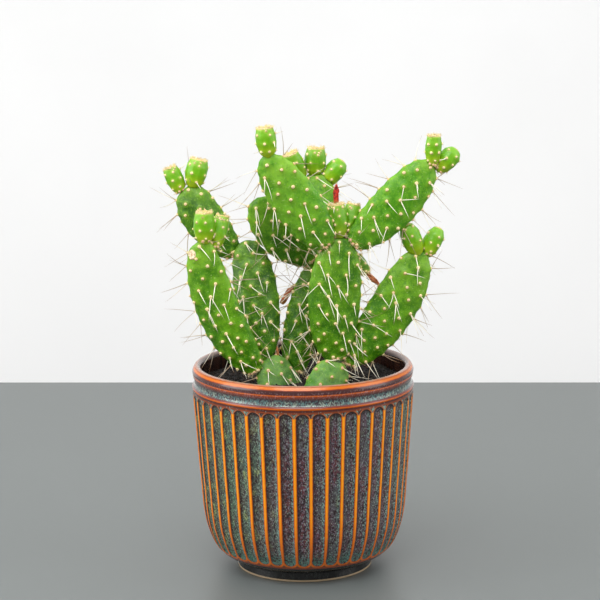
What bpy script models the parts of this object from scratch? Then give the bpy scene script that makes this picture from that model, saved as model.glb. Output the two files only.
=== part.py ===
# A small clump of paddle cactus in a fluted, glazed round pot.
# Metres, +Z up. The foot of the pot stands on z = 0, and the clump faces -Y.

from functools import partial
from math import cos, pi, radians, sin

import bmesh
import bpy
from mathutils import Matrix, Quaternion, Vector
from mathutils.geometry import interpolate_bezier

MM = 0.001
GAP = 0.3 * MM  # clearance between pieces that touch
POT_AXIS_X = -5.9 * MM  # the clump reaches further right, so the pot stands left of the middle
FOOT_DROP = 1.5  # all heights in this file are from a line this far above the table, in millimetres

# Pot, in millimetres from its own axis
POT_HEIGHT = 125.3
LIP_RADIUS = 67.6
BODY_TOP_RADIUS = 67.8
BODY_TOP = 112.0
BELLY_RADIUS = 61.6
BELLY = 32.0
FOOT_RADIUS = 41.5
FOOT_HEIGHT = 5.4
FOOT_INNER_RADIUS = 36.0
FOOT_RECESS = 2.0
WALL = 5.2
FLOOR = 8.0
COVE_DEPTH = 1.4
TURN_STEPS = 48

# Soil, in millimetres
SOIL_TOP = 116.0
SOIL_SWELL = 0.8

ROUND_END = 2.15  # power of the superellipse that a pad's ends follow
RING_COUNT = 10
PAD_SIDES = 12
YOUNG_PAD_WIDEST = 0.58
FRUIT_RINGS = 6
FRUIT_SIDES = 10

# Grown pads, in millimetres from the foot of the pot's axis. base and tip are the ends of the
# middle line, widest is how far up the widest place is, bow bends the middle line to the
# right, turn swings the flat face about the middle line, blunt above 2.15 squares the top off,
# on names the pad it grows from, and beside names others that press against it.
PADS = {
    "base_pad_left": dict(
        base=(-2, -8, 87), tip=(-22, -16, 131), width=29, thick=14, widest=0.5, bow=0, turn=34,
        blunt=2.6
    ),
    "base_pad_right": dict(
        base=(2, -23, 87), tip=(20.5, -18, 130), width=27, thick=14, widest=0.5, bow=0, turn=20,
        blunt=2.8
    ),
    "pad_left_front": dict(
        base=(-28, -20.5, 123), tip=(-60.5, -30, 206), width=26.5, thick=11, widest=0.42, bow=-6,
        turn=-8, blunt=2.8, on="base_pad_left"
    ),
    "pad_left_back": dict(
        base=(-23.5, -13.5, 127.5), tip=(-33.5, 4, 201), width=27, thick=11, widest=0.55, bow=1.5,
        turn=-6, blunt=2.4, on="base_pad_left"
    ),
    "pad_left_top": dict(
        base=(-40, 5, 190.5), tip=(-70.5, 8, 232.5), width=25, thick=10, widest=0.6, bow=-2,
        turn=10, blunt=2.5, on="pad_left_back"
    ),
    "pad_middle_back": dict(
        base=(-7, -7, 118.5), tip=(12, 7, 188.5), width=26, thick=11, widest=0.55, bow=0,
        turn=12, on="base_pad_left"
    ),
    "pad_inner_left": dict(
        base=(8, 4.6, 187), tip=(-29, -12, 227), width=27, thick=10, widest=0.53, bow=-2.5,
        turn=10, on="pad_middle_back"
    ),
    "pad_center": dict(
        base=(18.5, -18.5, 128.5), tip=(23, -22, 206.5), width=32, thick=12, widest=0.55, bow=-1.5,
        turn=5, on="base_pad_right"
    ),
    "pad_top_center": dict(
        base=(15.5, -24, 199.5), tip=(-21.5, -36, 257), width=28.6, thick=11, widest=0.47, bow=0,
        turn=-6, on="pad_center"
    ),
    "pad_top_right": dict(
        base=(29, -21.7, 200), tip=(78, -14, 249), width=28, thick=11, widest=0.55, bow=2,
        turn=8, on="pad_center"
    ),
    "pad_right": dict(
        base=(26.8, -15, 126), tip=(73, -8, 195.5), width=29.5, thick=11.5, widest=0.57, bow=4,
        turn=6, on="base_pad_right", beside=("pad_center",)
    ),
    "pad_top_back": dict(
        base=(10.5, 8, 184.5), tip=(9, 18, 240), width=26, thick=10, widest=0.6, bow=0,
        turn=-8, on="pad_middle_back"
    ),
}

# Young growth on the edges: flat-topped fruits, and young pads with round tops
FRUITS = {
    "fruit_left_front_a": dict(base=(-57.4, -30, 202.5), tip=(-57, -32, 223.5), width=13.4,
                               on="pad_left_front"),
    "fruit_left_front_b": dict(base=(-51.8, -27, 199.5), tip=(-46.6, -21, 219.5), width=11,
                               on="pad_left_front", beside=("fruit_left_front_a",)),
    "fruit_left_top_a": dict(base=(-72, 8, 228.5), tip=(-79.5, 9, 245), width=11.4,
                             on="pad_left_top"),
    "fruit_left_top_b": dict(base=(-66, 8, 231), tip=(-61.3, 9, 249.8), width=14,
                             on="pad_left_top", beside=("fruit_left_top_a",)),
    "fruit_top_center": dict(base=(-18.5, -35.5, 254), tip=(-21, -37, 273.2), width=12.8,
                             on="pad_top_center"),
    "fruit_top_back_b": dict(base=(8.6, 18, 236), tip=(9.3, 18, 255), width=14,
                             on="pad_top_back"),
    "fruit_top_back_a": dict(base=(1.2, 16.5, 234), tip=(-6.3, 12.5, 252.5), width=12,
                             on="pad_top_back", beside=("fruit_top_back_b",)),
    "fruit_center_a": dict(base=(22.8, -22, 204), tip=(20.6, -22, 226), width=12.6,
                           on="pad_center", beside=("pad_top_center",)),
    "fruit_center_b": dict(base=(26.8, -19.5, 203.5), tip=(31.5, -13.5, 224.5), width=11.4,
                           on="pad_center", beside=("fruit_center_a", "pad_top_right")),
    "fruit_top_right": dict(base=(78, -15, 245.5), tip=(79.1, -16, 265.5), width=10.4,
                            on="pad_top_right"),
    "fruit_hanging": dict(base=(31, -18, 196), tip=(38.5, -12, 183), width=8,
                          on="pad_center"),
}
YOUNG_PADS = {
    "young_pad_right_a": dict(base=(70.5, -8.5, 191), tip=(62.2, -12, 212.5), width=13,
                              on="pad_right"),
    "young_pad_right_b": dict(base=(73.8, -7, 190.5), tip=(83.6, -4, 208.8), width=12,
                              on="pad_right", beside=("young_pad_right_a",)),
    "young_pad_top_right": dict(base=(80.3, -12.5, 243.5), tip=(93.6, -9, 256.2), width=13,
                                on="pad_top_right", beside=("fruit_top_right",)),
    "young_pad_top_back": dict(base=(13.8, 17, 232.5), tip=(26.3, 20, 247), width=13,
                               on="pad_top_back", beside=("fruit_top_back_b",)),
}
FLOWERS = {
    "withered_flower_center": dict(base=(20.8, -22, 226.4), tip=(21.3, -22, 237.5), width=4,
                                   bow=-0.5),
    "withered_flower_hanging": dict(base=(38.8, -11.8, 182.4), tip=(46.5, -13, 176), width=4,
                                    bow=0.6),
    "withered_flower_back": dict(base=(-5.4, 2.2, 174), tip=(-13.3, 1.0, 162.2), width=4,
                                 bow=-1.2, on="pad_middle_back"),
    "withered_flower_base": dict(base=(-14.6, -11.5, 126), tip=(-15.8, -12, 139.5), width=2.6,
                                 bow=0.0, on="base_pad_left", beside=("pad_left_back",)),
}

# Roots, in millimetres: strands that leave the buried end of a base pad
ROOT_WIDTH = 6.0
ROOTS = {
    "roots_left": dict(on="base_pad_left", start=(-2, -8.5, 90),
                       ends=((-34, -8, 50), (-14, 24, 34), (-12, 2, 26))),
    "roots_right": dict(on="base_pad_right", start=(2, -23, 90),
                        ends=((34, -30, 48), (14, -40, 36), (4, -24, 28))),
}

COLORS = {
    "glaze": ((0.10, 0.075, 0.07, 1), 0.25),
    "soil": ((0.018, 0.012, 0.01, 1), 0.95),
    "old_pad": ((0.11, 0.21, 0.08, 1), 0.55),
    "pad": ((0.09, 0.27, 0.03, 1), 0.45),
    "fruit": ((0.17, 0.40, 0.03, 1), 0.45),
    "shrivelled_fruit": ((0.14, 0.17, 0.04, 1), 0.6),
    "flower": ((0.42, 0.09, 0.03, 1), 0.75),
    "root": ((0.35, 0.24, 0.14, 1), 0.9),
}


def clear_scene():
    for obj in list(bpy.data.objects):
        bpy.data.objects.remove(obj, do_unlink=True)


def material(name):
    mat = bpy.data.materials.new(name)
    mat.use_nodes = True
    color, roughness = COLORS[name]
    shader = mat.node_tree.nodes["Principled BSDF"]
    shader.inputs["Base Color"].default_value = color
    shader.inputs["Roughness"].default_value = roughness
    shader.inputs["Metallic"].default_value = 0.0
    return mat


def finish_mesh(bm, name):
    bmesh.ops.recalc_face_normals(bm, faces=bm.faces)
    mesh = bpy.data.meshes.new(name)
    bm.to_mesh(mesh)
    bm.free()
    mesh.shade_smooth()
    mesh.set_sharp_from_angle(angle=radians(40))
    return mesh


def add_object(name, mesh, parent, finish=None):
    obj = bpy.data.objects.new(name, mesh)
    bpy.context.scene.collection.objects.link(obj)
    obj.parent = parent
    if finish:
        mesh.materials.append(material(finish))
    return obj


def make_cutter(obj):
    obj.hide_render = True
    obj.display_type = "WIRE"
    return obj


def cut(obj, cutter):
    modifier = obj.modifiers.new("cut by " + cutter.name, "BOOLEAN")
    modifier.operation = "DIFFERENCE"
    modifier.solver = "EXACT"
    modifier.object = cutter


def turned_mesh(name, profile):
    # a closed profile of (radius, height) turned about +Z; a radius of 0 becomes a pole
    bm = bmesh.new()
    rings = []
    for radius, height in profile:
        if radius == 0:
            rings.append([bm.verts.new((0, 0, height * MM))] * TURN_STEPS)
            continue
        angles = [2 * pi * step / TURN_STEPS for step in range(TURN_STEPS)]
        ring = [bm.verts.new((radius * cos(a) * MM, radius * sin(a) * MM, height * MM)) for a in angles]
        rings.append(ring)
    closed = profile[0][0] != 0
    pairs = list(zip(rings, rings[1:] + rings[:1])) if closed else list(zip(rings, rings[1:]))
    for lower, upper in pairs:
        for step in range(TURN_STEPS):
            after = (step + 1) % TURN_STEPS
            corners = [lower[step], lower[after], upper[after], upper[step]]
            corners = list(dict.fromkeys(corners))
            bm.faces.new(corners)
    return finish_mesh(bm, name)


def bezier(start, start_handle, end_handle, end, count):
    points = [Vector((r, z, 0)) for r, z in (start, start_handle, end_handle, end)]
    return [(p.x, p.y) for p in interpolate_bezier(*points, count)]


def arc(center_r, center_z, radius, start, end, count):
    angles = [radians(start + (end - start) * i / (count - 1)) for i in range(count)]
    return [(center_r + radius * cos(a), center_z + radius * sin(a)) for a in angles]


def inner_radius(height):
    # inside wall: straight above the belly, a round bowl below it
    slope = (BODY_TOP_RADIUS - BELLY_RADIUS) / (BODY_TOP - BELLY)
    if height >= BELLY:
        return BELLY_RADIUS - WALL + slope * (height - BELLY)
    drop = (BELLY - height) / (BELLY - FLOOR)
    bowl = (1 - drop ** 2.4) ** 0.5
    return 34.0 + (BELLY_RADIUS - WALL - 34.0) * bowl


def pot_profile():
    outer = [(FOOT_INNER_RADIUS, FOOT_RECESS), (FOOT_INNER_RADIUS + 0.8, -FOOT_DROP)]
    outer += [(FOOT_RADIUS - 0.6, -FOOT_DROP), (FOOT_RADIUS, 0.8 - FOOT_DROP)]
    outer += [(FOOT_RADIUS + 1.2, FOOT_HEIGHT - 0.5)]
    outer += bezier((FOOT_RADIUS + 2.2, FOOT_HEIGHT), (56.5, 7.6), (59.8, 22.0), (BELLY_RADIUS, BELLY), 9)
    outer += bezier((BELLY_RADIUS, BELLY), (62.8, 47), (65.6, 84), (BODY_TOP_RADIUS - 0.9, 104), 4)[1:]
    outer += [(BODY_TOP_RADIUS, BODY_TOP)]
    outer += [(BODY_TOP_RADIUS - 0.9, 113.2), (BODY_TOP_RADIUS - COVE_DEPTH, 115.2), (66.9, 117.8)]
    outer += arc(LIP_RADIUS - 3.4, POT_HEIGHT - 3.4, 3.4, -62, 90, 6)
    inner = arc(LIP_RADIUS - 3.4, POT_HEIGHT - 2.2, 2.2, 90, 180, 3)[1:]
    depths = [POT_HEIGHT - 6.0, 100.0, 70.0, BELLY, 22.0, 14.0, FLOOR + 2.0]
    inner += [(min(inner_radius(z), LIP_RADIUS - 5.6), z) for z in depths]
    inner += [(34.0, FLOOR), (0, FLOOR)]
    return [(0, FOOT_RECESS)] + outer + inner


def soil_profile():
    depths = [FLOOR + 2.4, 14.0, 22.0, BELLY, 70.0, 100.0]
    side = [(min(inner_radius(z), LIP_RADIUS - 5.6) - 0.4, z) for z in depths]
    edge = min(inner_radius(SOIL_TOP), LIP_RADIUS - 5.6) - 0.4
    return [(0, FLOOR + 0.4), (33.0, FLOOR + 0.4)] + side + [(edge, SOIL_TOP - 1.0), (edge - 6.0, SOIL_TOP),
           (38.0, SOIL_TOP), (18.0, SOIL_TOP), (0, SOIL_TOP)]


def make_pot(root):
    return add_object("pot", turned_mesh("pot", pot_profile()), root, "glaze")


def make_soil(root):
    # a gently uneven top, a little higher where the plant stands
    mesh = turned_mesh("soil", soil_profile())
    for vertex in mesh.vertices:
        x, y, z = vertex.co
        if z > (SOIL_TOP - 0.5) * MM:
            swell = sin(x * 95 + 0.6) * cos(y * 80 - 0.4) + 0.4 * sin((x - y) * 170)
            vertex.co.z += SOIL_SWELL * MM * swell
    return add_object("soil", mesh, root, "soil")


def pad_outline(s, widest, blunt=ROUND_END):
    # half width along a pad, 0 at both ends and 1 at its widest place
    u = (s - widest) / (widest if s < widest else 1 - widest)
    power = ROUND_END if s < widest else blunt
    return max(0.0, 1 - abs(u) ** power) ** (1 / power)


def fruit_outline(s, crown=0.74, widest=0.62):
    # pear shape that stops at a flat crown
    if s < widest:
        u = (widest - s) / widest
        return max(0.0, 1 - u ** 2.1) ** 0.5
    return 1 - (1 - crown) * ((s - widest) / (1 - widest)) ** 2


def flower_outline(s):
    # narrow neck, swollen lower third and a drawn-out point
    return 0.42 + 0.58 * sin(pi * min(1, s / 0.7)) ** 1.2 if s < 0.35 else 1 - ((s - 0.35) / 0.65) ** 1.3


def lofted_mesh(name, spec, outline, rings, sides, grow=0.0, flat_top=False):
    # rings about a middle line along +Z from z = 0, closed by a point at each end
    base, tip = Vector(spec["base"]), Vector(spec["tip"])
    length = (tip - base).length + 2 * grow
    half_width = spec["width"] / 2 + grow
    half_thick = spec.get("thick", spec["width"] * 0.86) / 2 + grow
    bow = spec.get("bow", 0)
    bm = bmesh.new()
    first = bm.verts.new((0, 0, -grow * MM))
    last_height = length - grow - (0.8 if flat_top else 0)
    last = bm.verts.new((0, 0, last_height * MM))
    loops = []
    count = rings + 1 if flat_top else rings
    for index in range(1, count):
        s = (1 - cos(pi * index / rings)) / 2
        middle = bow * 4 * s * (1 - s)
        wide, deep = half_width * outline(s), half_thick * outline(s)
        height = s * length - grow
        angles = [2 * pi * side / sides for side in range(sides)]
        corners = [((middle + wide * cos(a)) * MM, deep * sin(a) * MM, height * MM) for a in angles]
        loops.append([bm.verts.new(corner) for corner in corners])
    for side in range(sides):
        after = (side + 1) % sides
        bm.faces.new([first, loops[0][after], loops[0][side]])
        bm.faces.new([last, loops[-1][side], loops[-1][after]])
        for lower, upper in zip(loops, loops[1:]):
            bm.faces.new([lower[side], lower[after], upper[after], upper[side]])
    return finish_mesh(bm, name)


def stand_along(obj, spec):
    # local +Z runs from base to tip, and local -Y is the flat face, turned to the front
    base, tip = Vector(spec["base"]), Vector(spec["tip"])
    axis = (tip - base).normalized()
    front = Vector((0, -1, 0))
    face = (front - front.project(axis)).normalized()
    face.rotate(Quaternion(axis, radians(spec.get("turn", 0))))
    back = -face
    side = back.cross(axis)
    obj.location = base * MM
    obj.rotation_euler = Matrix((side, back, axis)).transposed().to_euler()


def leaned_on():
    # the pieces that others are hollowed to fit
    names = set()
    for spec in {**PADS, **FRUITS, **YOUNG_PADS, **FLOWERS}.values():
        names.update(spec.get("beside", ()))
        names.add(spec.get("on"))
    return names


def make_growth(name, spec, root, finish, spaces, **shape):
    # a piece and, where others lean on it, the slightly larger space that it needs
    obj = add_object(name, lofted_mesh(name, spec, **shape), root, finish)
    stand_along(obj, spec)
    for other in (spec.get("on"), *spec.get("beside", ())):
        if other:
            cut(obj, spaces[other])
    if name in leaned_on():
        larger = lofted_mesh(name + "_space", spec, grow=GAP / MM, **shape)
        spaces[name] = make_cutter(add_object(name + "_space", larger, root))
        stand_along(spaces[name], spec)


def make_pads(root, spaces):
    for name, spec in PADS.items():
        finish = "pad" if "on" in spec else "old_pad"
        outline = partial(pad_outline, widest=spec["widest"], blunt=spec.get("blunt", ROUND_END))
        make_growth(name, spec, root, finish, spaces, outline=outline, rings=RING_COUNT, sides=PAD_SIDES)


def make_young_growth(root, spaces):
    for name, spec in FRUITS.items():
        finish = "shrivelled_fruit" if name == "fruit_hanging" else "fruit"
        make_growth(name, spec, root, finish, spaces, outline=fruit_outline, rings=FRUIT_RINGS,
                    sides=FRUIT_SIDES, flat_top=True)
    outline = partial(pad_outline, widest=YOUNG_PAD_WIDEST)
    for name, spec in YOUNG_PADS.items():
        make_growth(name, spec, root, "fruit", spaces, outline=outline, rings=FRUIT_RINGS, sides=FRUIT_SIDES)


def make_flowers(root, spaces):
    for name, spec in FLOWERS.items():
        make_growth(name, spec, root, "flower", spaces, outline=flower_outline, rings=6, sides=6)


def root_outline(s):
    return max(0.12, (1 - s) ** 0.8) * min(1, s * 12 + 0.3)


def root_strands(name, start, ends, width):
    # tapering strands that share one start, joined into one body
    objects = []
    for index, end in enumerate(ends):
        spec = dict(base=start, tip=end, width=width, thick=width, bow=3 if index % 2 else -3)
        mesh = lofted_mesh(name + "_" + str(index), spec, root_outline, 6, 6)
        strand = make_cutter(add_object(name + "_strand_" + str(index), mesh, None))
        stand_along(strand, spec)
        objects.append(strand)
    return objects


def make_roots(root, spaces, soil):
    for name, spec in ROOTS.items():
        strands = root_strands(name, spec["start"], spec["ends"], ROOT_WIDTH)
        around = root_strands(name + "_space", spec["start"], spec["ends"], ROOT_WIDTH + 2 * GAP / MM)
        for strand in strands + around:
            strand.parent = root
        body = add_object(name, strands[0].data.copy(), root, "root")
        body.location, body.rotation_euler = strands[0].location, strands[0].rotation_euler
        for strand in strands[1:]:
            joined = body.modifiers.new("join " + strand.name, "BOOLEAN")
            joined.operation, joined.solver, joined.object = "UNION", "EXACT", strand
        cut(body, spaces[spec["on"]])
        for space in around:
            cut(soil, space)


def build():
    clear_scene()
    root = bpy.data.objects.new("pot_axis", None)
    bpy.context.scene.collection.objects.link(root)
    root.location = (POT_AXIS_X, 0, FOOT_DROP * MM)
    make_pot(root)
    soil = make_soil(root)
    spaces = {}
    make_pads(root, spaces)
    make_young_growth(root, spaces)
    make_flowers(root, spaces)
    cut(soil, spaces["base_pad_left"])
    cut(soil, spaces["base_pad_right"])
    make_roots(root, spaces, soil)
    bpy.context.view_layer.update()


build()
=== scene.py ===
from math import cos, pi, radians, sin

import bmesh
import bpy
import numpy as np
from mathutils import Matrix, Vector, noise
from mathutils.bvhtree import BVHTree
from mathutils.kdtree import KDTree


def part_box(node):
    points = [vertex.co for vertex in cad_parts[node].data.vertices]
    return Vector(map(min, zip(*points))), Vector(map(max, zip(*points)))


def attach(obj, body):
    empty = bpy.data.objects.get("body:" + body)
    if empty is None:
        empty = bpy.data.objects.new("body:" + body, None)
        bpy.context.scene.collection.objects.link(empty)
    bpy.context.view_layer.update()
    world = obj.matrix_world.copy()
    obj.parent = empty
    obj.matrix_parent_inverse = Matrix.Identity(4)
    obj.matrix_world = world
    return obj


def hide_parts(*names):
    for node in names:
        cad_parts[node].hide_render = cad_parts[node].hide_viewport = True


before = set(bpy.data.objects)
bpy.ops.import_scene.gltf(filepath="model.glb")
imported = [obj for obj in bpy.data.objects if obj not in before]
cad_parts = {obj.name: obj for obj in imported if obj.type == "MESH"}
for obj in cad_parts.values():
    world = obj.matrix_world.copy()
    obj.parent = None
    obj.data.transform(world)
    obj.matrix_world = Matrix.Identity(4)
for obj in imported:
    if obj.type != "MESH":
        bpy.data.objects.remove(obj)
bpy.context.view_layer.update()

scene = bpy.context.scene
mm = 0.001
potLow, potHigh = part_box("pot")
potX = (potLow.x + potHigh.x) / 2  # the pot's own axis, a little left of the middle
print("frame loaded,", len(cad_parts), "nodes")


def operator(operation, swapped=False):  # a sum, a product or the like, as a method
    def method(self, other):
        return self.maths(operation, *((other, self) if swapped else (self, other)))
    return method


class Wire:  # one output of a node, ready for sums and products
    def __init__(self, tree, socket):
        self.tree = tree
        self.socket = socket

    def maths(self, operation, *values):
        return self.tree.node("ShaderNodeMath", {"operation": operation}, dict(enumerate(values)))

    __add__, __radd__ = operator("ADD"), operator("ADD", True)
    __sub__, __rsub__ = operator("SUBTRACT"), operator("SUBTRACT", True)
    __mul__, __rmul__ = operator("MULTIPLY"), operator("MULTIPLY", True)
    __truediv__, __rtruediv__ = operator("DIVIDE"), operator("DIVIDE", True)
    __pow__ = operator("POWER")

    def clamped(self):
        return self.maths("MINIMUM", self.maths("MAXIMUM", self, 0.0), 1.0)

    def fade(self, low, high, start=0.0, end=1.0):  # a soft, clamped step from low to high
        return self.tree.node(
            "ShaderNodeMapRange", {"interpolation_type": "SMOOTHSTEP", "clamp": True},
            {0: self, 1: low, 2: high, 3: start, 4: end})

    def out(self, name):
        return Wire(self.tree, self.socket.node.outputs[name])


class Tree:  # a node tree that nodes are added to, one call for each node
    def __init__(self, nodeTree):
        self.nodeTree = nodeTree

    def node(self, kind, settings=None, values=None, output=0):
        made = self.nodeTree.nodes.new(kind)
        for name, setting in (settings or {}).items():
            if name == "stops":
                self.setStops(made.color_ramp, setting)
            else:
                setattr(made, name, setting)
        for name, value in (values or {}).items():
            if isinstance(value, Wire):
                self.nodeTree.links.new(value.socket, made.inputs[name])
            else:
                made.inputs[name].default_value = value
        return Wire(self, made.outputs[output]) if len(made.outputs) else made

    def setStops(self, ramp, stops):
        while len(ramp.elements) < len(stops):
            ramp.elements.new(1.0)
        for element, (place, colour) in zip(ramp.elements, stops):
            element.position = place
            element.color = colour

    def mix(self, factor, first, second):  # a plain colour is on the 0 to 255 scale
        first, second = (tint(*colour) if isinstance(colour, tuple) and len(colour) == 3 else colour
                         for colour in (first, second))
        return self.node("ShaderNodeMix", {"data_type": "RGBA", "clamp_factor": True},
                         {0: factor, 6: first, 7: second}, 2)

    def coated(self, colour, *coats):  # coats of a mask and a colour, each laid over the last
        for mask, coat in coats:
            colour = self.mix(mask, colour, coat)
        return colour

    def scaled(self, vector, factor):
        return self.node("ShaderNodeVectorMath", {"operation": "SCALE"},
                         {0: vector, "Scale": factor})

    def axis(self, vector, name):  # one of a vector's parts
        return self.node("ShaderNodeSeparateXYZ", {}, {0: vector}, name)

    def noise(self, place, scale, detail=2.0, roughness=0.5, distortion=0.0):
        return self.node("ShaderNodeTexNoise", {}, {
            "Vector": place, "Scale": scale, "Detail": detail, "Roughness": roughness,
            "Distortion": distortion})

    def cells(self, place, scale):
        return self.node("ShaderNodeTexVoronoi", {}, {"Vector": place, "Scale": scale})

    def attribute(self, name):
        return self.node("ShaderNodeAttribute", {"attribute_name": name}, {}, "Fac")

    def stretched(self, place, along):  # the same place, scaled apart along the height
        return self.node("ShaderNodeVectorMath", {"operation": "MULTIPLY"},
                         {0: place, 1: (1, 1, along)})

    def bump(self, height, distance, strength=1.0):
        return self.node("ShaderNodeBump", {}, {"Height": height, "Distance": distance,
                                                "Strength": strength})


def tint(red, green, blue):  # a colour from the 0 to 255 scale, as the shader wants it
    def straight(part):
        part = part / 255
        return part / 12.92 if part <= 0.04045 else ((part + 0.055) / 1.055) ** 2.4
    return straight(red), straight(green), straight(blue), 1.0


def newFinish(name):  # a material's tree, and the wire of each point's place on the object
    material = bpy.data.materials.new(name)
    material.use_nodes = True
    material.node_tree.nodes.clear()
    tree = Tree(material.node_tree)
    tree.material = material
    return tree, tree.node("ShaderNodeTexCoord", output="Object")


def closeFinish(tree, values):
    shader = tree.node("ShaderNodeBsdfPrincipled", {}, values)
    tree.node("ShaderNodeOutputMaterial", {}, {"Surface": shader})
    return tree.material


def newShape(name, inputs):  # a geometry tree, and the wires of its named inputs
    group = bpy.data.node_groups.new(name, "GeometryNodeTree")
    group.interface.new_socket("Geometry", in_out="INPUT", socket_type="NodeSocketGeometry")
    for label, value in inputs.items():
        kind = "NodeSocketInt" if isinstance(value, int) else "NodeSocketFloat"
        group.interface.new_socket(label, in_out="INPUT", socket_type=kind).default_value = value
    group.interface.new_socket("Geometry", in_out="OUTPUT", socket_type="NodeSocketGeometry")
    tree = Tree(group)
    entry = tree.node("NodeGroupInput")
    return group, tree, {label: entry.out(label) for label in ["Geometry", *inputs]}


def closeShape(tree, geometry, material):
    real = tree.node("GeometryNodeRealizeInstances", {}, {"Geometry": geometry})
    done = tree.node("GeometryNodeSetMaterial", {}, {"Geometry": real, "Material": material})
    tree.node("NodeGroupOutput", {}, {"Geometry": done})


def named(tree, name, kind="FLOAT"):
    return tree.node("GeometryNodeInputNamedAttribute", {"data_type": kind}, {"Name": name})


def keep(tree, geometry, name, value):
    return tree.node("GeometryNodeStoreNamedAttribute", {"data_type": "FLOAT", "domain": "POINT"},
                     {"Geometry": geometry, "Name": name, "Value": value})


def placed(name, data):  # a new object in the scene
    piece = bpy.data.objects.new(name, data)
    scene.collection.objects.link(piece)
    return piece


def meshObject(name, points, faces=(), **attributes):
    mesh = bpy.data.meshes.new(name)
    mesh.from_pydata([tuple(point) for point in points], [], [tuple(face) for face in faces])
    for label, values in attributes.items():
        addValues(mesh, label, values)
    return placed(name, mesh)


def addValues(mesh, label, values):
    values = np.asarray(values, np.float32)
    kind, field = ("FLOAT_VECTOR", "vector") if values.ndim == 2 else ("FLOAT", "value")
    mesh.attributes.new(label, kind, "POINT").data.foreach_set(field, values.ravel())


def baked(piece):  # the piece with its modifiers turned into plain mesh
    deps = bpy.context.evaluated_depsgraph_get()
    mesh = bpy.data.meshes.new_from_object(piece.evaluated_get(deps), depsgraph=deps)
    piece.modifiers.clear()
    piece.data = mesh
    mesh.name = piece.name
    return piece


def shaped(piece, group, settings):  # runs a geometry tree on the piece and keeps the result
    modifier = piece.modifiers.new(group.name, "NODES")
    modifier.node_group = group
    for item in group.interface.items_tree:
        if item.in_out == "INPUT" and item.name in settings:
            modifier[item.identifier] = settings[item.name]
    return baked(piece)


def outwardFaces(piece, merge=0):  # turns every face outwards, after merging points that near
    closed = bmesh.new()
    closed.from_mesh(piece.data)
    if merge:
        bmesh.ops.remove_doubles(closed, verts=closed.verts, dist=merge)
    bmesh.ops.recalc_face_normals(closed, faces=closed.faces)
    closed.to_mesh(piece.data)
    closed.free()
    return piece


def smoothed(piece):
    for polygon in piece.data.polygons:
        polygon.use_smooth = True
    return piece


def settle(piece, replaced=()):
    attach(piece, "root")
    if replaced:
        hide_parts(*replaced)
    return piece


def places(mesh, field="co"):  # or, with "normal", the ways that the points face
    flat = np.empty(len(mesh.vertices) * 3)
    mesh.vertices.foreach_get(field, flat)
    return flat.reshape(-1, 3)


def ringFaces(rows, count):  # faces between rings of points, with count of them in each
    return [(i * count + k, i * count + (k + 1) % count, (i + 1) * count + (k + 1) % count,
             (i + 1) * count + k) for i in range(rows - 1) for k in range(count)]


def fanFaces(tip, first, count):  # faces from one point to the ring that starts at first
    return [(tip, first + k, first + (k + 1) % count) for k in range(count)]


def mergedCopy(node, name):  # a CAD node's shape as one clean closed mesh
    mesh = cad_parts[node].data.copy()
    mesh.materials.clear()
    piece = outwardFaces(placed(name, mesh), 0.01 * mm)
    while mesh.attributes.get("custom_normal"):
        mesh.attributes.remove(mesh.attributes["custom_normal"])
    return piece


def refined(piece, voxel, rounds):  # even faces all over, with the corners rounded off
    remesh = piece.modifiers.new("even faces", "REMESH")
    remesh.mode = "VOXEL"
    remesh.voxel_size = voxel
    remesh.use_smooth_shade = True
    baked(piece)
    mesh = piece.data
    ends = np.empty(len(mesh.edges) * 2, int)
    mesh.edges.foreach_get("vertices", ends)
    a, b = ends.reshape(-1, 2).T
    spots, count = places(mesh), len(mesh.vertices)
    links = np.bincount(np.append(a, b), minlength=count)[:, None]
    for step in [0.63, -0.65] * rounds:  # a push in, then a push out, so that the size stays
        near = np.stack([np.bincount(a, spots[b, k], count) + np.bincount(b, spots[a, k], count)
                         for k in range(3)], 1) / links
        spots = spots + (near - spots) * step
    mesh.vertices.foreach_set("co", spots.ravel())
    return piece


# metres from the pot's axis and the table, tilt in degrees, roll in radians, lens in mm
view = {"distance": 1.188, "height": 0.3883, "aside": -0.00127, "tilt": 79.38, "roll": -0.0109,
        "lens": 119.2}

camera = placed("camera", bpy.data.cameras.new("camera"))
camera.data.lens = view["lens"]
camera.data.clip_start = 0.05
camera.matrix_world = (Matrix.Translation((potX + view["aside"], -view["distance"],
                                           view["height"]))
                       @ Matrix.Rotation(radians(view["tilt"]), 4, "X")
                       @ Matrix.Rotation(view["roll"], 4, "Z"))
scene.camera = camera
scene.view_settings.view_transform = "Standard"

# sky and front are how bright the light all round is, and the lamps are in watts
studio = {"sky": 0.95, "front": 0.42, "window": 12, "fill": 6, "top": 19, "back": 7}


def softLight(name, place, size, power, target=(0, 0, 0.13)):
    light = bpy.data.lights.new(name, "AREA")
    light.shape = "RECTANGLE"
    light.size, light.size_y = size
    light.energy = power
    aim = (Vector(target) - Vector(place)).to_track_quat("-Z", "Y")
    placed(name, light).matrix_world = Matrix.Translation(place) @ aim.to_matrix().to_4x4()


softLight("window_left", (-1.15, -0.35, 0.75), (0.9, 1.1), studio["window"])
softLight("fill_right", (1.25, -0.3, 0.6), (0.8, 1.1), studio["fill"])
softLight("front_above", (-0.1, -1.0, 1.35), (1.2, 0.7), studio["top"])

sky = bpy.data.worlds.new("sky")
sky.use_nodes = True
skyTree = Tree(sky.node_tree)
sky.node_tree.nodes.clear()
level = skyTree.axis(skyTree.node("ShaderNodeTexCoord"), "Y")
glow = skyTree.node("ShaderNodeBackground", {}, {  # dimmer towards the room in front of the table
    "Color": tint(253, 253, 252),
    "Strength": level.fade(-0.9, 0.1, studio["front"], studio["sky"])})
skyTree.node("ShaderNodeOutputWorld", {}, {"Surface": glow})
scene.world = sky


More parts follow.
